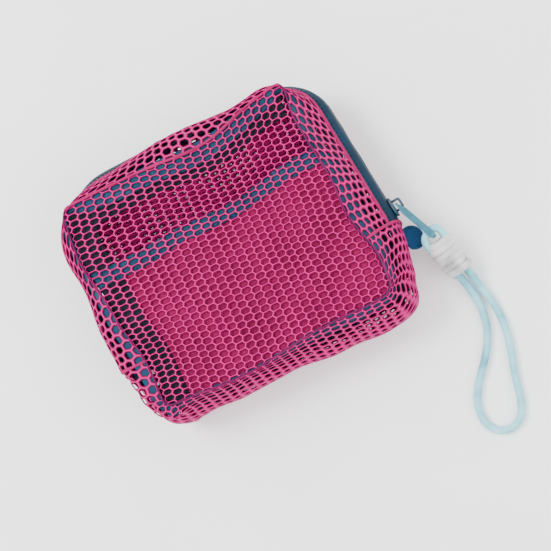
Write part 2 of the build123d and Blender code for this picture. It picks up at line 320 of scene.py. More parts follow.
OUTWARD_RING = outward_of(GIRTH_RING)
middle_ring = (PANEL_RING + GIRTH_RING) / 2
ROUND = distance_along(np.concatenate([middle_ring, middle_ring[:1]]))
GIRTH_LENGTH = ROUND[-1]
SHARES = np.arange(RING_COUNT + 1) / RING_COUNT


def share_at(u):
    """The share of the way round at a distance u along the middle of the sides."""
    laps = np.floor(u / GIRTH_LENGTH)
    return np.interp(u - laps * GIRTH_LENGTH, ROUND, SHARES) + laps


def share_where(side, y):
    """The share of the way round where a side, counted from the bottom as 0, passes y."""
    points = side * (SIDE_STEPS + ARC_STEPS) + np.arange(SIDE_STEPS)
    return points[np.argmin(abs(GIRTH_RING[points, 1] - y))] / RING_COUNT


ZIP_START = share_where(1, ZIP_END_Y)
ZIP_FINISH = share_where(3, ZIP_END_Y)
ZIP_FROM = float(np.interp(ZIP_START, SHARES, ROUND))
ZIP_TO = float(np.interp(ZIP_FINISH, SHARES, ROUND))


# ---------------- how the cloth lies
FRONT_PANEL_Z = DEPTH - 0.9
BACK_PANEL_Z = 0.62
FRONT_SEAM_RISE, BACK_SEAM_RISE = 0.15, 0.25


def front_place(x, y, drop=0.0):
    """The slack front panel: its top seam sags, its side seams wander, and its face swells."""
    across, along = x / PANEL_HALF_W, y / PANEL_HALF_H
    to_left, to_right = smoothstep(-across, 0.2, 1.0), smoothstep(across, 0.2, 1.0)
    to_top, to_foot = smoothstep(along, 0.0, 1.0), smoothstep(-along, 0.2, 1.0)
    inner = np.clip(1 - across**2, 0, 1)
    # the left and right seams
    new_x = x - to_left * (3.6 * bell(along, 0.52, 0.35) - 1.6 * bell(along, -0.62, 0.3))
    new_x = new_x + to_right * (2.0 * bell(along, -0.7, 0.2) - 1.6 * bell(along, -0.25, 0.22))
    new_x = new_x - to_right * (1.5 * bell(along, 0.75, 0.16) + 3.5 * bell(along, 0.5, 0.42))
    new_x = new_x - to_right * 2.0 * bell(along, -0.25, 0.35)
    new_x = new_x - 2.6 * to_left * smoothstep(along, -0.5, -0.05)
    new_x = new_x - 0.8 * to_left * to_foot - 1.5 * to_right * to_foot
    # the top seam sags, and the bottom seam waves
    new_y = y - 5.0 * to_top * bell(x, 11.0, 24.0) - to_foot * (1.4 * inner - 0.8 * np.sin(across * 5.0))
    # the corners
    new_y = new_y + 2.2 * to_top * to_left + 2.2 * to_top * to_right * bell(along, 1.0, 0.25)
    new_y = new_y + 2.0 * to_foot * to_left - 1.2 * to_foot * to_right
    # the height
    swell = 1.9 * inner * np.clip(1 - along**2, 0, 1)
    roll = 2.4 * smoothstep(along, 0.35, 1.0) * np.clip(1 - 0.7 * across**2, 0, 1)
    face = np.clip(np.minimum(1 - abs(across), 1 - abs(along)) * 6, 0, 1)
    waves = (0.35 + 0.45 * face) * ripple(x, y, 4, 42.0) + 0.25 * face * ripple(x, y, 9, 17.0)
    return np.stack([new_x, new_y, FRONT_PANEL_Z + swell - roll + waves - drop], -1)


def back_place(x, y):
    """The back panel, which lies flat."""
    return np.stack([x, y, np.full(np.shape(x), BACK_PANEL_Z)], -1)


front_seam_ring = front_place(PANEL_RING[:, 0], PANEL_RING[:, 1])
front_seam_ring[:, 2] += FRONT_SEAM_RISE
back_seam_ring = back_place(PANEL_RING[:, 0], PANEL_RING[:, 1])
back_seam_ring[:, 2] += BACK_SEAM_RISE

# how far the slack cloth falls in at shares of the way round, or stands out where it is below zero
DRAWS = np.array(
    # bottom, and lower right corner
    [(0.0, 5.4), (0.012, 5.7), (0.034, 3.8), (0.075, 3.2), (0.103, 0.8), (0.147, -2.3)]
    + [(0.17, -3.0), (0.19, 0.5), (0.2125, 6.0), (0.25, 5.5)]
    # right, and upper right corner
    + [(0.265, 2.5), (0.2875, 0.0), (0.44, 0.0), (0.48, 2.5), (0.5, 4.0)]
    # top, and upper left corner
    + [(0.525, 3.2), (0.559, 0.6), (0.589, -1.0), (0.63, -2.6), (0.667, -3.2)]
    + [(0.69, -1.6), (0.715, -2.0), (0.74, -2.8)]
    # left, and lower left corner
    + [(0.76, -2.0), (0.785, -0.6), (0.83, -1.0), (0.885, 0.0), (0.908, 4.0)]
    + [(0.93, 5.5), (0.97, 5.4), (1.0, 5.4)]
)
DRAW_SPREAD = 9

draw = np.interp(np.arange(RING_COUNT) / RING_COUNT, DRAWS[:, 0], DRAWS[:, 1])
draw = sum(np.roll(draw, k) for k in range(-DRAW_SPREAD, DRAW_SPREAD + 1)) / (2 * DRAW_SPREAD + 1)
DRAW_RING = draw[:, None]


def side_point(t, inset, z):
    """A point of the side, drawn in from the girth where the slack cloth falls in."""
    inset = np.asarray(inset)[..., None] + ring_at(DRAW_RING, t)
    flat = ring_at(GIRTH_RING, t) - ring_at(OUTWARD_RING, t) * inset
    return np.concatenate([flat, np.broadcast_to(z, np.shape(t))[..., None]], -1)


# how far the side's mesh bellies out over the zip, from 0 to 1, at shares of the way round
TUCKS = np.array(
    [(0.0, 0.35), (0.20, 0.0), (0.42, 0.0), (0.47, 0.35), (0.50, 0.75), (0.60, 0.75)]
    + [(0.65, 0.0), (0.69, 0.0), (0.715, 0.6), (0.76, 1.0), (0.98, 1.0), (1.0, 0.35)]
)
TUCKED_EDGE_OUT = 3.6


def tuck_at(t):
    return np.interp(np.mod(t, 1.0), TUCKS[:, 0], TUCKS[:, 1])


def half_side(t, w, front):
    """Mesh of one half of the side: w runs from the panel's seam to the zip's tape."""
    t, w = np.broadcast_arrays(t, w)
    seam = ring_at(front_seam_ring if front else back_seam_ring, t)
    tuck = tuck_at(t)
    edge_z = MESH_EDGE_Z if front else DEPTH - MESH_EDGE_Z
    edge = side_point(t, MESH_EDGE_INSET - TUCKED_EDGE_OUT * tuck, edge_z)
    # the mesh curves from seam to edge by way of bend, which stands further out where it is tucked
    bend = seam + (edge - seam) * (0.62 + 0.6 * tuck)[..., None]
    bend[..., 2] = seam[..., 2] + (edge[..., 2] - seam[..., 2]) * (0.22 - 0.1 * tuck)
    w = np.asarray(w)[..., None]
    place = seam * (1 - w) ** 2 + 2 * w * (1 - w) * bend + edge * w**2
    u = np.mod(t, 1.0) * GIRTH_LENGTH
    wave = 0.9 * ripple(u, w[..., 0] * 9, 21 if front else 22, 24.0)
    wave = wave * np.sin(math.pi * np.clip(w[..., 0], 0, 1))
    place[..., :2] += ring_at(OUTWARD_RING, t) * (wave * 0.8)[..., None]
    place[..., 2] += wave * (0.45 if front else -0.2)
    return place


# where the stations of lower_side lie on its way from the front seam to the back seam
LOWER_KNOTS = np.array([0.0, 0.15, 0.29, 0.42, 0.58, 0.71, 0.85, 1.0])
LOWER_EDGE_INSET, LOWER_MID_INSET = 3.4, 0.5
LOWER_MID_RISE = 4.6


def lower_side(t, w):
    """The full-depth side round the bottom: w runs from the front seam to the back seam."""
    t, w = np.broadcast_arrays(t, w)
    slack = 0.9 * ripple(np.mod(t, 1.0) * GIRTH_LENGTH, w * 40, 33, 26.0)
    stations = np.stack(
        [
            half_side(t, 0.0, True),
            half_side(t, 0.5, True),
            side_point(t, LOWER_EDGE_INSET, MESH_EDGE_Z),
            side_point(t, LOWER_MID_INSET, MID_Z + LOWER_MID_RISE),
            side_point(t, LOWER_MID_INSET, MID_Z - LOWER_MID_RISE),
            side_point(t, LOWER_EDGE_INSET, DEPTH - MESH_EDGE_Z),
            half_side(t, 0.5, False),
            half_side(t, 0.0, False),
        ]
    )
    slopes = np.gradient(stations, LOWER_KNOTS, axis=0)
    k = np.clip(np.searchsorted(LOWER_KNOTS, w, side="right") - 1, 0, len(LOWER_KNOTS) - 2)
    span = (LOWER_KNOTS[k + 1] - LOWER_KNOTS[k])[..., None]
    s = (w - LOWER_KNOTS[k])[..., None] / span
    low = k[None, ..., None]
    here, there = (np.take_along_axis(stations, row, 0)[0] for row in (low, low + 1))
    leave, arrive = (np.take_along_axis(slopes, row, 0)[0] for row in (low, low + 1))
    place = (2 * s**3 - 3 * s**2 + 1) * here + (s**3 - 2 * s**2 + s) * span * leave
    place = place + (3 * s**2 - 2 * s**3) * there + (s**3 - s**2) * span * arrive
    place[..., :2] += ring_at(OUTWARD_RING, t) * (slack * np.sin(math.pi * np.clip(w, 0, 1)))[..., None]
    return place


# ---------------- hexagonal net
CELL_X = 4.75
CELL_Y = 3.35
CELL_TIP = 2.95
CELL_TURN = math.radians(-3.0)
HOLE_ROUNDNESS = 0.4
STRAND_HALF_HIGH = 0.36
EDGE_SQUEEZE = 1.2
# a strand's layers from its upper to its lower edge: their heights, and how bright they are painted, with a
# painted highlight on the upper crest and painted shade at the hole's rim and below
STRAND_HEIGHTS = np.array([1.0, 0.8, 0.0, -0.8, -1.0]) * STRAND_HALF_HIGH
STRAND_PAINTED_LIGHT = np.array([1.0, 0.3, 0.0, 0.0, 0.2])
WELD_GRID = 200


def hex_cells(half_a, half_b, turn, steps, open_share):
    """Centres that cover a rectangle, and one cell's border and hole."""
    tip, shoulder, half_y = CELL_TIP, CELL_X - CELL_TIP, CELL_Y / 2
    upper = [(tip, 0), (shoulder, half_y), (-shoulder, half_y)]
    corners = np.array(upper + [(-x, -y) for x, y in upper])
    border = []
    for i in range(6):
        for k in range(steps):
            border.append(corners[i] + (corners[(i + 1) % 6] - corners[i]) * k / steps)
    border = np.array(border)
    hole_a, hole_b = open_share * 0.98 * tip, open_share * CELL_Y / 2
    angle = np.arctan2(border[:, 1] / hole_b, border[:, 0] / hole_a)
    oval = np.stack([hole_a * 0.93 * np.cos(angle), hole_b * np.sin(angle)], -1)
    hole = HOLE_ROUNDNESS * oval + (1 - HOLE_ROUNDNESS) * border * open_share
    count_a, count_b = int((half_a + half_b) / CELL_X) + 2, int((half_a + half_b) / CELL_Y) + 2
    i, j = np.meshgrid(np.arange(-count_a, count_a + 1), np.arange(-count_b, count_b + 1), indexing="ij")
    centres = np.stack([i.ravel() * CELL_X, (j.ravel() + (i.ravel() % 2) / 2) * CELL_Y], -1)
    spin = np.array([[math.cos(turn), math.sin(turn)], [-math.sin(turn), math.cos(turn)]])
    return centres @ spin, border @ spin, hole @ spin


def squeeze(points, half_a, half_b, corner):
    """Draws points near or past a rounded rectangle's edge in to it."""
    q = abs(points) - (np.array([half_a, half_b]) - corner)
    outside = np.maximum(q, 0)
    reach = np.linalg.norm(outside, axis=1)
    distance = reach + np.minimum(q.max(1), 0) - corner
    away = np.where((q > 0).all(1)[:, None], outside / np.maximum(reach, 1e-9)[:, None], 0.0)
    straight = ~(q > 0).all(1)
    axis = q.argmax(1)
    away[straight, axis[straight]] = 1.0
    away *= np.sign(points)
    pressed = -EDGE_SQUEEZE * np.exp(-(distance + EDGE_SQUEEZE) / EDGE_SQUEEZE)
    new = np.where(distance > -EDGE_SQUEEZE, pressed, distance)
    return points + away * (new - distance)[:, None], distance


def hex_net(name, surface, size, steps, seed, open_share, turn=0.0, flip=False, tighten=0.0):
    """A knitted net of rounded hexagonal holes, as one closed mesh over surface(a, b).

    Its holes are smaller by the share tighten, except along the edge where b is lowest.
    """
    half_a, half_b, corner = size
    centres, border, hole = hex_cells(half_a, half_b, turn, steps, open_share)
    _, distance = squeeze(centres, half_a, half_b, corner)
    centres = centres[distance < 0.8]
    n, m = len(centres), len(border)
    rng = np.random.default_rng(seed)
    grow = 1 + rng.uniform(-0.05, 0.05, (n, 1, 1))
    grow = grow * (1 - tighten * smoothstep(centres[:, 1] / half_b, -0.75, -0.1))[:, None, None]
    edge = (centres[:, None] + border[None]).reshape(-1, 2)
    rim = (centres[:, None] + hole[None] * grow).reshape(-1, 2)
    # neighbouring cells share their border points
    keys = np.round(edge * WELD_GRID).astype(np.int64)
    _, first, shared = np.unique(keys[:, 0] * 1000003 + keys[:, 1], return_index=True, return_inverse=True)
    shared = shared.reshape(-1)
    edge_points = edge[first]
    count = len(edge_points)
    mid = edge + (rim - edge) * 0.58
    flat = np.concatenate([edge_points, mid, rim, mid, edge_points])
    flat, _ = squeeze(flat, half_a, half_b, corner)
    layers = [count, n * m, n * m, n * m, count]
    # ridge carries each layer's painted highlight or painted shade to the material, in the cloth attribute's
    # third part
    high, ridge = np.repeat(STRAND_HEIGHTS, layers), np.repeat(STRAND_PAINTED_LIGHT, layers)
    within_a = np.clip(half_a - abs(flat[:, 0]), 0, 1)
    flat[:, 0] += 0.22 * ripple(flat[:, 0], flat[:, 1], seed + 50, 11.0) * within_a
    within_b = np.clip(half_b - abs(flat[:, 1]), 0, 1)
    flat[:, 1] += 0.16 * ripple(flat[:, 0], flat[:, 1], seed + 60, 13.0) * within_b
    normal = surface_normals(surface, flat[:, 0], flat[:, 1], flip)
    points = surface(flat[:, 0], flat[:, 1]) + normal * high[:, None]
    top = shared.reshape(n, m)
    upper = count + np.arange(n * m).reshape(n, m)
    waist = upper + n * m
    lower = waist + n * m
    base = top + count + 3 * n * m
    quads = []
    for outer, inner in ((top, upper), (upper, waist), (waist, lower), (lower, base)):
        ring = [outer, np.roll(outer, -1, 1), np.roll(inner, -1, 1), inner]
        quads.append(np.stack(ring, -1).reshape(-1, 4))
    # border edges used once are the net's rim, and get a wall
    a, b = top.ravel(), np.roll(top, -1, 1).ravel()
    code = np.minimum(a, b) * (count + 1) + np.maximum(a, b)
    _, where, uses = np.unique(code, return_inverse=True, return_counts=True)
    single = uses[where.reshape(-1)] == 1
    a, b = a[single], b[single]
    shift = count + 3 * n * m
    quads.append(np.stack([b, a, a + shift, b + shift], -1))
    quads = np.concatenate(quads)
    if flip:
        quads = quads[:, ::-1]
    return new_object(name, points, [quads], cloth=np.concatenate([flat, ridge[:, None] / MM], 1))


# ---------------- materials
TAPE_WIDTH = 10.4
BRAID_PITCH = 2.2
BRAID_STRANDS = 12


class Look:
    """A material's node tree, with short ways to add nodes.

    flat is a point's place on the cloth, and solid is its place in space, both in metres.
    """

    def __init__(self, name, attribute=True):
        self.material = bpy.data.materials.new(name)
        self.material.use_nodes = True
        self.tree = self.material.node_tree
        self.shader = self.tree.nodes["Principled BSDF"]
        self.solid = self.add("ShaderNodeTexCoord").outputs["Object"]
        if attribute:
            self.flat = self.add("ShaderNodeAttribute", attribute_name="cloth").outputs["Vector"]

    def add(self, kind, inputs=(), **settings):
        node = self.tree.nodes.new(kind)
        for key, value in settings.items():
            setattr(node, key, value)
        for key, value in dict(inputs).items():
            self.feed(node.inputs[key], value)
        return node

    def feed(self, socket, value):
        """Links a socket to another node's output, or sets its value or its colour."""
        if hasattr(value, "links"):
            self.tree.links.new(value, socket)
        elif isinstance(value, tuple):
            socket.default_value = (*value, 1.0)
        else:
            socket.default_value = value

    def math(self, operation, a, b=0.0, c=0.5):
        return self.add("ShaderNodeMath", {0: a, 1: b, 2: c}, operation=operation).outputs[0]

    def along(self, axis, pitch):
        """An angle that makes a full turn in each pitch of millimetres of flat cloth."""
        split = self.add("ShaderNodeSeparateXYZ", {"Vector": self.flat})
        return self.math("MULTIPLY", split.outputs[axis], 2000.0 * math.pi / pitch)

    def lifted(self, wave):
        """A wave between -1 and 1, brought between 0 and 1."""
        return self.math("MULTIPLY_ADD", wave, 0.5, 0.5)

    def inverse(self, value):
        return self.math("SUBTRACT", 1.0, value)

    def noise(self, size, detail=3.0, rough=0.5, where=None):
        """Noise with features of about the given size in millimetres."""
        inputs = {"Vector": where or self.solid, "Scale": 1000.0 / size}
        inputs.update({"Detail": detail, "Roughness": rough})
        return self.add("ShaderNodeTexNoise", inputs).outputs["Fac"]

    def ramp(self, factor, stops):
        node = self.add("ShaderNodeValToRGB", {"Fac": factor})
        while len(node.color_ramp.elements) < len(stops):
            node.color_ramp.elements.new(0.5)
        for element, (place, colour) in zip(node.color_ramp.elements, stops):
            element.position = place
            element.color = (*colour, 1.0)
        return node.outputs["Color"]

    def mix(self, factor, a, b):
        return self.add("ShaderNodeMix", {0: factor, 6: a, 7: b}, data_type="RGBA").outputs[2]

    def threads(self, pitch_a, pitch_b, twill=0.0):
        """A plain or twill weave of raised threads, from 0 to 1, pitches in millimetres."""
        a, b = self.along(0, pitch_a), self.along(1, pitch_b)
        if twill:
            a = self.math("ADD", a, self.math("MULTIPLY", b, twill))
        return self.lifted(self.math("MULTIPLY", self.math("SINE", a), self.math("SINE", b)))

    def bump(self, height, strength, depth):
        """Raises the surface by height times depth, in millimetres."""
        inputs = {"Height": height, "Strength": strength, "Distance": depth * MM}
        if self.shader.inputs["Normal"].is_linked:
            inputs["Normal"] = self.shader.inputs["Normal"].links[0].from_socket
        node = self.add("ShaderNodeBump", inputs)
        self.tree.links.new(node.outputs["Normal"], self.shader.inputs["Normal"])

    def finish(self, colour, rough, rough_change=None, **settings):
        if rough_change is not None:
            rough = self.math("MULTIPLY_ADD", rough_change, 0.25, rough - 0.12)
        self.feed(self.shader.inputs["Base Color"], colour)
        self.feed(self.shader.inputs["Roughness"], rough)
        for key, value in settings.items():
            self.shader.inputs[key.replace("_", " ")].default_value = value
        return self.material


def net_look(name, deep, middle, bright):
    """Knitted yarn: fine fibres, uneven dye, the yarn's twist, and painted light on each strand, a painted
    highlight on its crest and painted shade down its sides.
    """
    look = Look(name)
    patch = look.noise(14.0, 4.0, 0.6)
    fibre = look.noise(0.45, 3.0, 0.65)
    ridge = look.add("ShaderNodeSeparateXYZ", {"Vector": look.flat}).outputs[2]
    # ridge is each layer's painted light; added to uneven dye it picks the colour, from painted shade at the
    # rim to a painted highlight on the crest
    light = look.math("ADD", look.math("MULTIPLY", ridge, 0.8), look.math("MULTIPLY", patch, 0.3))
    colour = look.ramp(light, [(0.12, deep), (0.5, middle), (0.95, bright)])
    colour = look.mix(look.math("MULTIPLY", fibre, 0.25), colour, deep)
    yarn = look.noise(0.9, 2.0, 0.5, look.flat)
    look.bump(yarn, 0.9, 0.22)
    look.bump(fibre, 0.7, 0.12)
    return look.finish(colour, 0.66, fibre, Specular_IOR_Level=0.14)


def woven_look(name, deep, middle, bright, pitch, twill=0.0):
    """Woven cloth: crossing threads with painted shade where they dip, slubs and slow colour change."""
    look = Look(name)
    patch = look.noise(18.0, 4.0, 0.6)
    slub = look.noise(1.3, 2.0, 0.6, look.flat)
    weave = look.threads(pitch[0], pitch[1], twill)
    colour = look.ramp(patch, [(0.3, deep), (0.55, middle), (0.75, bright)])
    # painted shade between the raised threads, where the weave's bump is low
    colour = look.mix(look.math("MULTIPLY", look.inverse(weave), 0.55), colour, deep)
    colour = look.mix(look.math("MULTIPLY", slub, 0.25), colour, bright)
    look.bump(weave, 0.8, 0.12)
    look.bump(slub, 0.5, 0.12)
    return look.finish(colour, 0.75, slub, Sheen_Weight=0.01, Sheen_Roughness=0.4, Specular_IOR_Level=0.15)


def tape_look(name, deep, middle, bright, line):
    """Zip tape: fine cross ribs, and a line of painted shade along its edge by the coil, where the two tapes
    meet.
    """
    look = Look(name)
    split = look.add("ShaderNodeSeparateXYZ", {"Vector": look.flat})
    rib = look.lifted(look.math("SINE", look.along(0, 0.7)))
    patch = look.noise(9.0, 3.0, 0.6)
    colour = look.ramp(patch, [(0.3, deep), (0.55, middle), (0.78, bright)])
    colour = look.mix(look.math("MULTIPLY", rib, 0.35), colour, deep)
    # painted shade along the tape's last 1.8 mm, by the coil where the two tapes meet
    across = {"Value": split.outputs[1], "From Min": 8.6 * MM, "From Max": TAPE_WIDTH * MM}
    near = look.add("ShaderNodeMapRange", across)
    colour = look.mix(near.outputs[0], colour, line)
    look.bump(rib, 0.7, 0.12)
    look.bump(look.noise(0.5), 0.4, 0.06)
    return look.finish(colour, 0.55, patch, Specular_IOR_Level=0.12)


def braid_look(name, deep, middle, bright):
    """A braided cord's sheath: crossing bundles of fine fibre, with painted shade in the grooves between
    them.
    """
    look = Look(name)
    split = look.add("ShaderNodeSeparateXYZ", {"Vector": look.flat})
    along = look.along(0, BRAID_PITCH)
    round_it = look.math("MULTIPLY", split.outputs[1], 1000.0 * BRAID_STRANDS / 2.0)
    one = look.math("SINE", look.math("ADD", along, round_it))
    two = look.math("SINE", look.math("SUBTRACT", along, round_it))
    cross = look.lifted(look.math("MAXIMUM", one, two))
    fibre = look.noise(0.35, 2.0, 0.6)
    colour = look.ramp(look.noise(11.0, 3.0), [(0.3, deep), (0.5, middle), (0.7, bright)])
    # painted shade in the grooves between the bundles, where the braid's bump is low
    colour = look.mix(look.math("MULTIPLY", look.inverse(cross), 0.5), colour, deep)
    look.bump(cross, 0.6, 0.16)
    look.bump(fibre, 0.5, 0.08)
    return look.finish(colour, 0.6, fibre, Sheen_Weight=0.08, Sheen_Roughness=0.4, Specular_IOR_Level=0.25)


def metal_look(name, deep, colour, worn, metallic, rough, coat=0.3):
    """Painted or plated metal, cloudy, with fine scratches and worn spots."""
    look = Look(name, attribute=False)
    cloud = look.noise(3.0, 4.0, 0.6)
    scratch = look.noise(0.25, 2.0, 0.7)
    base = look.ramp(cloud, [(0.3, deep), (0.55, colour)])
    spots = look.ramp(look.noise(1.6, 5.0, 0.75), [(0.66, (0, 0, 0)), (0.74, (1, 1, 1))])
    base = look.mix(look.math("MULTIPLY", spots, 0.35), base, worn)
    look.bump(scratch, 0.35, 0.03)
    look.bump(cloud, 0.3, 0.08)
    return look.finish(base, rough, scratch, Metallic=metallic, Coat_Weight=coat, Coat_Roughness=0.2)


def floor_look():
    look = Look("floor", attribute=False)
    colour = look.ramp(look.noise(60.0, 3.0), [(0.3, (0.90, 0.90, 0.905)), (0.7, (0.94, 0.94, 0.94))])
    look.bump(look.noise(0.8), 0.1, 0.05)
    return look.finish(colour, 0.9, Specular_IOR_Level=0.1)


# each colour is given deep, middle and bright
# the net's deep and bright are painted shade and a painted highlight along each strand, with middle between
# them
PINK = net_look("net_pink", (0.13, 0.0, 0.035), (0.36, 0.0005, 0.11), (0.64, 0.008, 0.20))
HEM_PINK = woven_look("hem_pink", (0.18, 0.001, 0.045), (0.32, 0.002, 0.085), (0.42, 0.006, 0.12), (0.6, 0.6))
# painted shade: a dark plum for the shade in the pressed-in seam round the front panel's left, bottom and
# right
PLUM_CREASE_SHADE = woven_look("crease_painted_shade", (0.05, 0.001, 0.03), (0.12, 0.002, 0.055), (0.2, 0.004, 0.08), (0.6, 0.6))
CRIMSON = woven_look(
    "pocket_crimson", (0.13, 0.0005, 0.032), (0.22, 0.001, 0.055), (0.28, 0.002, 0.075), (0.42, 0.42)
)
TEAL = woven_look(
    "binding_teal", (0.004, 0.016, 0.045), (0.008, 0.038, 0.08), (0.025, 0.08, 0.14), (0.9, 0.5), twill=0.5
)
# painted shade: a near-black cloth colour for the dark inside of the bag along the panel's left and top edges
BLACK_PAINTED_SHADE = woven_look(
    "shade_sheet_black", (0.003, 0.003, 0.008), (0.009, 0.007, 0.018), (0.02, 0.018, 0.035), (0.5, 0.5)
)
# the zip tape's last colour is the painted shade along its edge by the coil
TAPE = tape_look(
    "zip_tape", (0.0003, 0.011, 0.026), (0.0006, 0.02, 0.042), (0.001, 0.03, 0.06), (0.0003, 0.005, 0.012)
)
NAVY = woven_look("tab_navy", (0.002, 0.025, 0.075), (0.004, 0.042, 0.12), (0.012, 0.08, 0.18), (0.55, 0.55))
NAVY_THREAD = woven_look(
    "navy_thread", (0.0005, 0.008, 0.02), (0.002, 0.022, 0.045), (0.006, 0.04, 0.07), (0.3, 0.3)
)
COIL = metal_look("zip_coil", (0.004, 0.02, 0.05), (0.01, 0.05, 0.10), (0.03, 0.10, 0.16), 0.0, 0.38)
ENAMEL = metal_look(
    "slider_enamel", (0.0005, 0.02, 0.04), (0.001, 0.035, 0.065), (0.02, 0.09, 0.13), 0.0, 0.55, coat=0.04
)
PULL = metal_look("pull_enamel", (0.004, 0.07, 0.11), (0.010, 0.125, 0.185), (0.08, 0.32, 0.42), 0.1, 0.28)
CORD = braid_look("cord_blue", (0.11, 0.36, 0.43), (0.25, 0.60, 0.68), (0.36, 0.70, 0.78))
KNOT = braid_look("knot_grey", (0.30, 0.30, 0.31), (0.58, 0.58, 0.58), (0.72, 0.72, 0.72))


# ---------------- the cord and its knot
CORD_DIAMETER = 4.0
CORD_ROUTE = [
    (86.7, -52.6, 12.6),
    (84.9, -46.8, 15.6),
    (83.99, -39.69, 20.13),
    (93.36, -36.2, 20.13),
    (94.8, -45.2, 15.6),
    (94.7, -53.8, 11.1),
    (95.3, -62.2, 7.2),
    (97.2, -73.5, 3.4),
    (98.6, -85.0, 2.1),
    (97.6, -96.5, 2.1),
    (93.9, -108.5, 2.1),
    (89.6, -120.5, 2.1),
    (87.2, -131.0, 2.1),
    (82.5, -139.2, 2.1),
    (73.5, -141.0, 2.1),
    (66.0, -134.5, 2.1),
    (66.3, -122.5, 2.1),
    (73.0, -112.5, 2.1),
    (81.5, -104.0, 2.1),
    (88.3, -94.5, 2.1),
    (91.6, -84.5, 2.1),
    (92.2, -74.0, 3.2),
    (90.5, -63.2, 7.2),
    (89.0, -58.0, 9.5),
]
KNOT_FROM = np.array([89.0, -42.5, 16.0])
KNOT_TO = np.array([92.9, -62.7, 7.4])
KNOT_WRAPS = 6
KNOT_RADIUS = 6.8
PATH_STEP = 0.4


def spline_through(route):
    """The line of a NURBS spline with the route as its control points, in millimetres."""
    curve = bpy.data.curves.new("route", "CURVE")
    curve.dimensions = "3D"
    curve.resolution_u = 32
    spline = curve.splines.new("NURBS")
    spline.points.add(len(route) - 1)
    for point, place in zip(spline.points, route):
        point.co = (place[0] * MM, place[1] * MM, place[2] * MM, 1.0)
    spline.order_u = 3
    spline.use_endpoint_u = True
    holder = in_scene("route", curve)
    bpy.context.view_layer.update()
    evaluated = holder.evaluated_get(bpy.context.evaluated_depsgraph_get())
    mesh = bpy.data.meshes.new_from_object(evaluated)
    line = np.array([v.co for v in mesh.vertices]) / MM
    bpy.data.objects.remove(holder)
    bpy.data.meshes.remove(mesh)
    return line


def evenly(path, step):
    """The same path with points about a step apart."""
    distance = distance_along(path)
    wanted = np.linspace(0, distance[-1], max(int(distance[-1] / step), 2) + 1)
    return sampled(path, distance, wanted)


def braid(depth, pitch):
    """The relief of crossing bundles, for tube."""

    def relief(angle, distance):
        one = np.sin(2 * math.pi * distance / pitch + angle * BRAID_STRANDS / 2)
        two = np.sin(2 * math.pi * distance / pitch - angle * BRAID_STRANDS / 2)
        return 1 - depth + depth * np.maximum(one, two)

    return relief


cord_line = evenly(spline_through(CORD_ROUTE), PATH_STEP)
cord = tube("lanyard", cord_line, CORD_DIAMETER / 2, sides=32, relief=braid(0.035, BRAID_PITCH))


def wound_knot():
    """A cord wound round both strands, a little unevenly, with its ends tucked in."""
    axis = unit(KNOT_TO - KNOT_FROM)
    level = unit(np.cross(axis, (0.0, 0.0, 1.0)))
    over = np.cross(level, axis)
    length = np.linalg.norm(KNOT_TO - KNOT_FROM)
    wrap_radius = length / KNOT_WRAPS * 0.56
    turns = np.linspace(0, 1, 900)
    winding = turns * KNOT_WRAPS * 2 * math.pi
    along = wrap_radius * 0.5 + (length - 1.45 * wrap_radius) * turns
    along = along + 0.25 * np.sin(winding * 0.61)
    ends = 0.28 * (1 - smoothstep(turns, 0.0, 0.05)) + 0.28 * smoothstep(turns, 0.95, 1.0)
    out = (KNOT_RADIUS - wrap_radius) * (1 - ends)
    out = out * (1 + 0.03 * np.sin(winding * 0.37 + 1.0)) * 1.06
    line = KNOT_FROM + axis * along[:, None] + level * (np.cos(winding) * out * 1.04)[:, None]
    line = line + over * (np.sin(winding) * out * 0.95)[:, None]
    return tube("knot", evenly(line, PATH_STEP), wrap_radius, sides=28, relief=braid(0.03, 2.4))


knot = wound_knot()


# ---------------- the nets
def centred(surface, first, last, half_b):
    """surface(t, w) as surface(a, b) with a and b counted from the middle."""
    middle = (first + last) / 2
    return lambda a, b: surface(share_at(middle + a), b / (2 * half_b) + 0.5)


SIDE_ROWS, LOWER_ROWS = 5, 15
SIDE_HALF_A = (ZIP_TO - ZIP_FROM) / 2
SIDE_HALF_B = SIDE_ROWS * CELL_Y / 2
LOWER_FROM, LOWER_TO = ZIP_TO, ZIP_FROM + GIRTH_LENGTH
LOWER_HALF_A = (LOWER_TO - LOWER_FROM) / 2
LOWER_HALF_B = LOWER_ROWS * CELL_Y / 2
PANEL_SIZE = (PANEL_HALF_W, PANEL_HALF_H, PANEL_CORNER)
SIDE_SIZE = (SIDE_HALF_A, SIDE_HALF_B, 0.0)
LOWER_SIZE = (LOWER_HALF_A, LOWER_HALF_B, 0.0)
front_side = centred(lambda t, w: half_side(t, w, True), ZIP_FROM, ZIP_TO, SIDE_HALF_B)
back_side = centred(lambda t, w: half_side(t, w, False), ZIP_FROM, ZIP_TO, SIDE_HALF_B)
under_side = centred(lower_side, LOWER_FROM, LOWER_TO, LOWER_HALF_B)

front_net = hex_net("front_net", front_place, PANEL_SIZE, 3, seed=1, open_share=0.79, turn=CELL_TURN)
back_net = hex_net("back_net", back_place, PANEL_SIZE, 2, seed=2, open_share=0.27)
front_side_net = hex_net(
    "front_side_net", front_side, SIDE_SIZE, 3, seed=3, open_share=0.72, flip=True, tighten=0.2
)
back_side_net = hex_net("back_side_net", back_side, SIDE_SIZE, 2, seed=4, open_share=0.5)
lower_net = hex_net("lower_net", under_side, LOWER_SIZE, 3, seed=5, open_share=0.7, flip=True, tighten=0.5)


# ---------------- seams, hems and end seams
def outward(t, rise):
    """Unit vectors out from the bag's side, tilted up by rise."""
    flat = ring_at(OUTWARD_RING, t)
    return unit(np.concatenate([flat, np.full((len(flat), 1), rise)], -1))


ring_t = np.arange(900) / 900
WELT_LIFT = 0.2
HEM_LIFT = 0.35


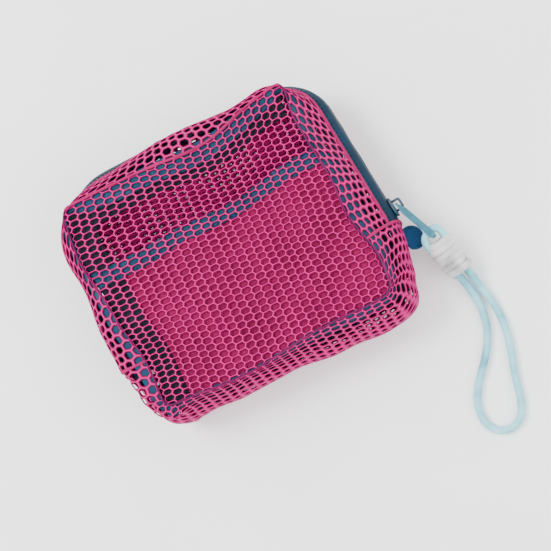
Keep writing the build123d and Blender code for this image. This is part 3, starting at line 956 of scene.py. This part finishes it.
def welt(name, ring, rise, radius, seed, start=0.0, end=1.0):
    """The rolled ridge of a panel's seam, from one share of the way round to another."""
    closed = end - start == 1.0
    t = start + (ring_t if closed else ring_t[:-1]) * (end - start)
    path = ring_at(ring, t) + outward(t, rise) * WELT_LIFT
    thick = radius * (1 + 0.2 * ripple(t * GIRTH_LENGTH, 0 * t, seed, 9.0))
    up_there = np.tile((0.0, 0.0, 1.0), (len(t), 1))
    return tube(name, path, thick, sides=12, closed=closed, flatten=0.8, up=up_there)


front_welt = welt("front_welt", front_seam_ring, 0.4, 0.72, 61, 0.46, 0.70)
# the crease round the left, bottom and right is dark plum, painted shade in the pressed-in seam
front_crease = welt("front_crease", front_seam_ring, 0.4, 0.42, 61, 0.695, 1.465)
back_welt = welt("back_welt", back_seam_ring + np.array([0, 0, 0.1]), 0.0, 0.7, 62)

zip_u = np.arange(ZIP_FROM, ZIP_TO, 0.5)
zip_t = share_at(zip_u)


def hem(name, front, seed):
    """The folded edge of the mesh where it is sewn to the zip's tape."""
    ones = np.ones(len(zip_t))
    edge, before = half_side(zip_t, ones, front), half_side(zip_t, 0.9 * ones, front)
    out = outward(zip_t, 0.7 if front else -0.7)
    path = edge + unit(before - edge) * 0.2 + out * HEM_LIFT
    thick = 1.05 * (1 + 0.12 * ripple(zip_u, 0 * zip_u, seed, 8.0))
    return tube(name, path, thick, sides=10, flatten=0.5, up=out)


front_hem, back_hem = hem("front_hem", True, 63), hem("back_hem", False, 64)


def end_seam(name, share):
    """The short seam across the side, where zip and lower mesh meet."""
    w = np.linspace(0, 1, 140)
    t = np.full(len(w), share)
    path = lower_side(t, w) + outward(t, 0.0) * HEM_LIFT
    thick = 0.85 * (1 + 0.15 * ripple(w * 50, 0 * w, 65, 8.0))
    return tube(name, path, thick, sides=10, flatten=0.8, up=outward(t, 0.2))


end_seam_right = end_seam("end_seam_right", ZIP_START)
end_seam_left = end_seam("end_seam_left", ZIP_FINISH)


# ---------------- zip
# the front tape's cross-section from the mesh to the chain: in from the girth, and up from the floor
TAPE_INSETS = (5.2, 4.4, 3.2, 2.0, 1.1, 0.55, 0.32, 0.3, 0.3)
TAPE_HEIGHTS = (33.8, 32.9, 31.5, 30.1, 29.0, 27.9, 26.6, 25.0, 23.42)
TUCKED_INSET = 1.5
TAPE_THICK = 0.6
COIL_PITCH, COIL_RADIUS = 1.25, 0.3


def tape_surface(front):
    def surface(u, b):
        w = np.clip(b / TAPE_WIDTH, -0.01, 1.01) * (len(TAPE_INSETS) - 1)
        steps = np.arange(len(TAPE_INSETS))
        z = np.interp(w, steps, TAPE_HEIGHTS)
        tuck = tuck_at(share_at(u))
        inset = np.interp(w, steps, TAPE_INSETS) * (1 - tuck) + TUCKED_INSET * tuck
        inset = inset + 0.12 * ripple(u, b, 71 if front else 72, 16.0)
        return side_point(share_at(u), inset, z if front else DEPTH - z)

    return surface


tape_u = np.arange(ZIP_FROM - 1.5, ZIP_TO + 1.5, 0.6)
tape_b = np.linspace(0.02, TAPE_WIDTH - 0.02, 17)
front_tape = shell("front_tape", tape_surface(True), tape_u, tape_b, TAPE_THICK, flip=True)
back_tape = shell("back_tape", tape_surface(False), tape_u, tape_b, TAPE_THICK)


def coil(name, front):
    """The zip's coil, sewn along the tape's inner face."""
    u = np.arange(ZIP_FROM + 2.0, ZIP_TO - 2.0, 0.1)
    angle = u / COIL_PITCH * 2 * math.pi + (0 if front else math.pi)
    middle = MID_Z + (1.95 if front else -1.95)
    inset = 1.62 + 0.62 * np.cos(angle) + (TUCKED_INSET - 0.3) * tuck_at(share_at(u))
    winding = side_point(share_at(u), inset, middle + 0.95 * np.sin(angle))
    return tube(name, winding, COIL_RADIUS, sides=6)


front_coil, back_coil = coil("front_coil", True), coil("back_coil", False)


def tape_stitches(name, front):
    """The row of stitches that holds the mesh's hem to the tape."""
    surface = tape_surface(front)
    b = np.full(len(zip_u), 2.9)
    normal = surface_normals(surface, zip_u, b, front)
    return stitches(name, surface(zip_u, b) + normal * (TAPE_THICK / 2), normal, 2.4, 1.9, 0.22)


front_tape_stitches = tape_stitches("front_tape_stitches", True)
back_tape_stitches = tape_stitches("back_tape_stitches", False)


# ---------------- bindings, pocket, and the black sheet of painted shade
BINDING_WIDTH, BINDING_THICK = 8.0, 0.9
PANEL_OUTWARD = outward_of(PANEL_RING)
TOP_RIGHT = (2 * SIDE_STEPS + ARC_STEPS) / RING_COUNT
TOP_LEFT = (3 * SIDE_STEPS + 3 * ARC_STEPS) / RING_COUNT


def laid_on_panel(t, b):
    """Flat places b inside a panel's edge."""
    return ring_at(PANEL_RING, t) - ring_at(PANEL_OUTWARD, t) * (0.4 + b)[:, None]


def front_binding_surface(u, b):
    """Leans under the panel along the top and under the side mesh elsewhere."""
    t = share_at(u)
    laid = laid_on_panel(t, b)
    tucked = half_side(t, 0.14, True) - outward(t, 0.9) * 1.3
    under_panel = front_place(laid[:, 0], laid[:, 1], 1.5)
    under_panel = tucked + (under_panel - tucked) * smoothstep(b, 0.0, 2.2)[:, None]
    part = np.mod(t, 1.0)
    narrow = smoothstep(part, 0.70, 0.76) * (1 - smoothstep(part, 0.93, 0.99))
    down = 0.03 + (0.5 - 0.28 * narrow) * b / BINDING_WIDTH
    under_side = half_side(t, down, True) - outward(t, 0.9) * 1.3
    on_top = smoothstep(part, TOP_RIGHT, TOP_RIGHT + 0.12)
    on_top = on_top * (1 - smoothstep(part, TOP_LEFT - 0.12, TOP_LEFT))
    return under_side + (under_panel - under_side) * on_top[:, None]


def back_binding_surface(u, b):
    """Leans up the side mesh, and lies on the back panel along the bottom."""
    t = share_at(u)
    up_side = half_side(t, 0.1 + 0.5 * b / BINDING_WIDTH, False) - outward(t, -0.7) * 1.5
    laid = laid_on_panel(t, b)
    on_panel = np.concatenate([laid, np.full((len(laid), 1), 2.0)], -1)
    part = np.mod(t + 0.25, 1.0)
    flat_there = smoothstep(part, 0.10, 0.18) * (1 - smoothstep(part, 0.46, 0.53))
    return up_side + (on_panel - up_side) * flat_there[:, None]


whole_u = np.linspace(0, GIRTH_LENGTH, 901)
binding_b = np.linspace(0, BINDING_WIDTH, 9)
front_binding = shell(
    "front_binding", front_binding_surface, whole_u, binding_b, BINDING_THICK, flip=True, closed=True
)
back_binding = shell("back_binding", back_binding_surface, whole_u, binding_b, BINDING_THICK, closed=True)


def end_binding(name, t, sign):
    """The tape behind a short end seam. sign is 1 on the right and -1 on the left."""
    start = float(np.interp(t, SHARES, ROUND))

    def surface(a, b):
        return lower_side(share_at(start - sign * b), a / 50.0)

    down, across = np.linspace(13.5, 36.5, 32), np.linspace(0.4, 7.8, 9)
    return shell(name, surface, down, across, BINDING_THICK, flip=sign > 0, lift=-1.5)


end_binding_right = end_binding("end_binding_right", ZIP_START, 1)
end_binding_left = end_binding("end_binding_left", ZIP_FINISH, -1)

# the pocket's left edge, the band along its mouth, and the panel's inner size
POCKET_LEFT = -50.0
BAND_LOW, BAND_HIGH = 12.5, 21.0
BAND_THICK = 0.95
# the lower edge of the top strip of the black sheet of painted shade
SHADE_SHEET_LOW_EDGE = 43.5
LAYER_HALF_W, LAYER_HALF_H = 63.4, 57.0


def droop(x):
    """How far the pocket's mouth sags down the panel."""
    return 0.5 * np.sin(x / 9.0) - 1.6 * smoothstep(-x, 20.0, 60.0) - 1.4 * smoothstep(x, 15.0, 55.0)


def layer_place(x, y, drop):
    """A place on a layer that hangs a drop below the front panel, kept inside the panel's edge."""
    flat, _ = squeeze(np.stack([x, y], -1), LAYER_HALF_W, LAYER_HALF_H, 7.0)
    return front_place(flat[:, 0], flat[:, 1], drop)


def pocket_surface(x, y):
    y = y - droop(x) * smoothstep(y, -30.0, BAND_LOW)
    slack = 0.45 * (1 + ripple(x, y, 81, 30.0)) + 0.2 * ripple(x, y, 82, 9.0)
    return layer_place(x, y, 1.35 + np.clip(slack, 0, 2))


def band_surface(x, y):
    drop = 1.3 + 0.5 * smoothstep(-x, 35.0, 60.0) + 0.25 * (1 + ripple(x, y, 83, 16.0))
    return layer_place(x, y - droop(x), drop)


# the black sheet of painted shade hangs a little below the front panel
def shade_sheet_surface(x, y):
    drop = 2.3 + 0.35 * ripple(x, y, 84, 18.0) + 0.3 * smoothstep(-x, 52.0, 62.0)
    return layer_place(x, y, drop)


def in_shade_sheet(x, y):
    """Whether a place is on the L-shaped black sheet of painted shade, along the panel's left and top edges.
    """
    return (x < POCKET_LEFT - 0.3) | (y > SHADE_SHEET_LOW_EDGE)


pocket_x, pocket_y = np.linspace(POCKET_LEFT, 63.5, 150), np.linspace(-57.5, BAND_LOW + 0.8, 95)
band_x, band_y = np.linspace(-62.5, 62.8, 170), np.linspace(BAND_LOW, BAND_HIGH, 12)
shade_sheet_x, shade_sheet_y = np.linspace(-63.4, 60.5, 145), np.linspace(-57.4, 54.0, 124)
pocket = shell("pocket", pocket_surface, pocket_x, pocket_y, 0.7)
band = shell("pocket_band", band_surface, band_x, band_y, BAND_THICK)
# a black sheet under the front panel's left and top edges, painted shade for the dark inside of the bag
facing = shell("facing", shade_sheet_surface, shade_sheet_x, shade_sheet_y, 0.6, keep=in_shade_sheet)


def band_stitches(name, y):
    x = np.arange(-60.0, 61.0, 0.5)
    y = np.full(len(x), y)
    normal = surface_normals(band_surface, x, y, False)
    return stitches(name, band_surface(x, y) + normal * 0.48, normal, 2.6, 2.0, 0.2)


band_stitches_low = band_stitches("band_stitches_low", BAND_LOW + 1.0)
band_stitches_high = band_stitches("band_stitches_high", BAND_HIGH - 1.0)


# ---------------- the round end tab
TAB_CENTRE = np.array([80.0, -35.6, 15.6])
TAB_RADIUS, TAB_THICK, TAB_TILT = 6.5, 1.6, math.radians(35.0)
TAB_CUT = -4.5
TAB_SEAM_RADIUS = 0.75 * TAB_RADIUS
tab_reach = np.array([math.cos(TAB_TILT), 0.0, -math.sin(TAB_TILT)])
tab_normal = np.array([math.sin(TAB_TILT), 0.0, math.cos(TAB_TILT)])
tab_side = np.array([0.0, 1.0, 0.0])
# the tab's section from its middle to its rim: shares of its radius, and of half its thickness
TAB_SHARES = np.array([0.0, 0.2, 0.4, 0.6, 0.75, 0.84, 0.91, 0.96, 0.99, 1.0])
TAB_HIGHS = np.array([0.86, 0.88, 0.9, 0.94, 0.78, 0.86, 0.8, 0.6, 0.35, 0.0])


def merge(obj, distance):
    """Joins points that lie within a distance in millimetres."""
    work = bmesh.new()
    work.from_mesh(obj.data)
    bmesh.ops.remove_doubles(work, verts=work.verts, dist=distance * MM)
    work.to_mesh(obj.data)
    work.free()


def tab_place(p, q, high):
    """A place on the tab, p out from the bag, q along its side and high above the tab's middle."""
    high = high + 0.35 * ripple(p, q, 91, 9.0)
    return TAB_CENTRE + p[..., None] * tab_reach + q[..., None] * tab_side + high[..., None] * tab_normal


def end_tab(name):
    """A round double tab of cloth, sewn into the side along its straight edge."""
    high = TAB_THICK / 2 * TAB_HIGHS
    rings = np.concatenate([TAB_SHARES, TAB_SHARES[-2::-1]])
    highs = np.concatenate([high, -high[-2::-1]])
    count = 72
    angle = np.arange(count) / count * 2 * math.pi
    p = TAB_RADIUS * rings[:, None] * np.cos(angle)
    q = TAB_RADIUS * rings[:, None] * np.sin(angle)
    straight = TAB_CUT + np.exp(np.minimum(p - TAB_CUT - 1.0, 0.0))
    p = np.where(p < TAB_CUT + 1.0, straight, p)
    index = np.arange(len(rings) * count).reshape(len(rings), count)
    after = np.roll(index, -1, 1)
    quads = np.stack([index[:-1], index[1:], after[1:], after[:-1]], -1).reshape(-1, 4)
    points = tab_place(p, q, highs[:, None]).reshape(-1, 3)
    tab = new_object(name, points, [quads], cloth=np.stack([p.ravel(), q.ravel()], -1))
    merge(tab, 0.002)
    return tab


def tab_stitches(name):
    angle = np.linspace(-1.75, 1.75, 60)
    path = tab_place(TAB_SEAM_RADIUS * np.cos(angle), TAB_SEAM_RADIUS * np.sin(angle), 0.8 * TAB_THICK / 2)
    return stitches(name, path, np.tile(tab_normal, (len(angle), 1)), 1.9, 1.5, 0.2)


tab_right = end_tab("end_tab_right")
tab_right_stitches = tab_stitches("end_tab_right_stitches")


# ---------------- slider and pull
def rounded_copy(name, node, width, segments):
    """A copy of a rigid CAD node with softened edges, its rounding's width in millimetres."""
    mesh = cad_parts[node].data.copy()
    mesh.name = name
    obj = in_scene(name, mesh)
    work = bmesh.new()
    work.from_mesh(mesh)
    bmesh.ops.remove_doubles(work, verts=work.verts, dist=1e-6)
    bmesh.ops.dissolve_limit(work, angle_limit=0.01, verts=work.verts, edges=work.edges)
    work.to_mesh(mesh)
    work.free()
    for polygon in mesh.polygons:
        polygon.use_smooth = True
    bevel = obj.modifiers.new("soft edges", "BEVEL")
    bevel.width = width * MM
    bevel.segments = segments
    bevel.limit_method = "ANGLE"
    bevel.angle_limit = math.radians(40)
    bevel.harden_normals = True
    return obj


slider = rounded_copy("slider", "slider_body", 0.3, 3)
bridge = rounded_copy("bridge", "slider_bridge", 0.3, 3)
pull = rounded_copy("pull", "pull_tab", 0.55, 4)


# ---------------- what each piece is
def place(obj, body, slot, material, *nodes):
    """Gives a piece its material and the body it rides, and hides the CAD nodes it stands for. The slot is
    not used.
    """
    obj.data.materials.clear()
    obj.data.materials.append(material)
    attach(obj, body)
    if nodes:
        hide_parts(*nodes)


# pieces that ride the bag in place of a CAD node, under that node's name
nets = {"front_panel": front_net, "back_panel": back_net, "lower_gusset": lower_net}
nets.update({"front_zip_gusset": front_side_net, "back_zip_gusset": back_side_net})
bindings = {"front_seam_binding": front_binding, "back_seam_binding": back_binding}
bindings.update({"end_seam_binding_right": end_binding_right, "end_seam_binding_left": end_binding_left})
bindings["pocket_top_binding"] = band
for slot, material, pieces in (
    ("mesh", PINK, nets),
    ("zip_tape", TAPE, {"front_zip_tape": front_tape, "back_zip_tape": back_tape}),
    ("zip_coil", COIL, {"front_zip_coil": front_coil, "back_zip_coil": back_coil}),
    ("binding", TEAL, bindings),
    ("pocket", CRIMSON, {"pocket_panel": pocket}),
    # the seam_facing node is drawn as the black sheet of painted shade
    ("facing", BLACK_PAINTED_SHADE, {"seam_facing": facing}),
    ("end_tab", NAVY, {"zip_end_tab_right": tab_right}),
):
    for node, piece in pieces.items():
        place(piece, "bag", slot, material, node)
# ridges, hems and stitches, which stand for no CAD node
for slot, material, pieces in (
    ("mesh", HEM_PINK, (front_welt, back_welt, front_hem, back_hem, end_seam_right, end_seam_left)),
    ("mesh", PLUM_CREASE_SHADE, (front_crease,)),
    ("zip_tape", NAVY_THREAD, (front_tape_stitches, back_tape_stitches)),
    ("binding", NAVY_THREAD, (band_stitches_low, band_stitches_high)),
    ("end_tab", NAVY_THREAD, (tab_right_stitches,)),
):
    for piece in pieces:
        place(piece, "bag", slot, material)
place(slider, "slider", "slider", ENAMEL, "slider_body")
place(bridge, "slider", "slider", ENAMEL, "slider_bridge")
place(pull, "pull", "pull", PULL, "pull_tab")
place(cord, "lanyard", "cord", CORD, "lanyard_cord")
place(knot, "lanyard", "knot", KNOT, "knot_wrap")
# the CAD's own zip stops stay, and only get their look
for node in ("zip_stop_right", "zip_stop_left"):
    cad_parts[node].data.materials.clear()
    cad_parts[node].data.materials.append(COIL)


# ---------------- floor, and lights in metres
def stage_plane(name, size):
    half = size / 2
    corners = [(-half, -half, 0), (half, -half, 0), (half, half, 0), (-half, half, 0)]
    floor = new_object(name, np.array(corners), [np.array([[0, 1, 2, 3]])], smooth=False)
    floor.data.materials.append(floor_look())


stage_plane("floor", 6000.0)


def area_light(name, place, aim, size, power):
    data = bpy.data.lights.new(name, "AREA")
    data.shape = "DISK"
    data.size = size
    data.energy = power
    light = in_scene(name, data)
    light.location = place
    light.rotation_euler = (Vector(aim) - Vector(place)).to_track_quat("-Z", "Y").to_euler()


area_light("key", (-0.55, 0.45, 1.25), (0.0, 0.0, 0.0), 0.7, 24.0)
area_light("fill", (0.9, -0.7, 1.1), (0.0, -0.05, 0.0), 1.2, 14.0)
world = bpy.data.worlds.new("world")
world.use_nodes = True
world.node_tree.nodes["Background"].inputs["Color"].default_value = (1.0, 1.0, 1.0, 1.0)
world.node_tree.nodes["Background"].inputs["Strength"].default_value = 2.0
bpy.context.scene.world = world
